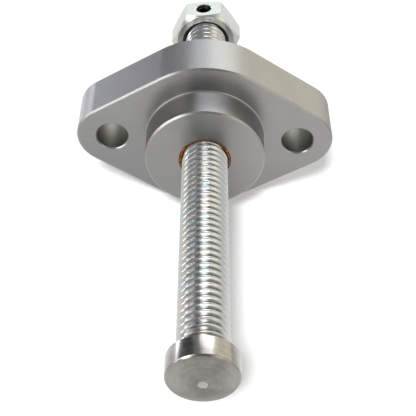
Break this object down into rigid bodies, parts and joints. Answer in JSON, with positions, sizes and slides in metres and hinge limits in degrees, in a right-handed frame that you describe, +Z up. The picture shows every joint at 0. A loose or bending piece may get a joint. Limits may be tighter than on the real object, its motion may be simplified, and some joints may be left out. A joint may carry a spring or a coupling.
{
  "type": "cam chain tensioner",
  "caption": "Manual cam chain tensioner with a two-bolt flange, spigot boss, threaded adjuster stud, crowned nose button and sealed hexagon lock nut.",
  "frame": {"origin": "on the adjuster stud's axis, in the flange's mounting face", "axes": "-Y along the stud towards the nose, X along the line of the two bolt holes, +Z up"},
  "size_m": [0.0544, 0.1105, 0.036],
  "materials": {
    "machined_aluminium": "satin",
    "amber_rubber": "satin",
    "zinc_plated_stud": "satin",
    "turned_steel": "satin",
    "zinc_plated_nut": "satin",
    "black_rubber": "matte",
    "black_oxide_steel": "satin"
  },
  "bodies": {
    "housing": {"tensioner_body": "machined_aluminium", "body_seal_ring": "amber_rubber"},
    "nose": {"nose_button": "turned_steel"},
    "stud": {"adjuster_stud": "zinc_plated_stud"},
    "nut_seal": {"nut_seal_ring": "black_rubber"},
    "nut": {"lock_nut": "zinc_plated_nut"},
    "set_screw": {"nut_set_screw": "black_oxide_steel"}
  },
  "joints": [
    {"name": "adjuster_advance", "type": "slide", "parent": "housing", "child": "nose", "axis": [0, -1, 0], "range_m": [-0.0519, 0.002]},
    {"name": "adjuster_turn", "type": "hinge", "parent": "nose", "child": "stud", "pos_m": [0, 0, 0], "axis": [0, -1, 0], "range_deg": [-11770, 454]},
    {"name": "nut_travel", "type": "slide", "parent": "housing", "child": "nut_seal", "axis": [0, -1, 0], "range_m": [0, 0.0259]},
    {"name": "nut_turn", "type": "hinge", "parent": "nut_seal", "child": "nut", "pos_m": [0, 0.0402, 0], "axis": [0, -1, 0], "range_deg": [0, 5874]},
    {"name": "set_screw_travel", "type": "slide", "parent": "nut", "child": "set_screw", "axis": [-0.1045, 0, 0.9945], "range_m": [0, 0.001]}
  ],
  "couplings": [
    {"joint": "adjuster_turn", "follows": "adjuster_advance", "rad_per_m": 3957.9},
    {"joint": "nut_turn", "follows": "nut_travel", "rad_per_m": 3957.9}
  ]
}
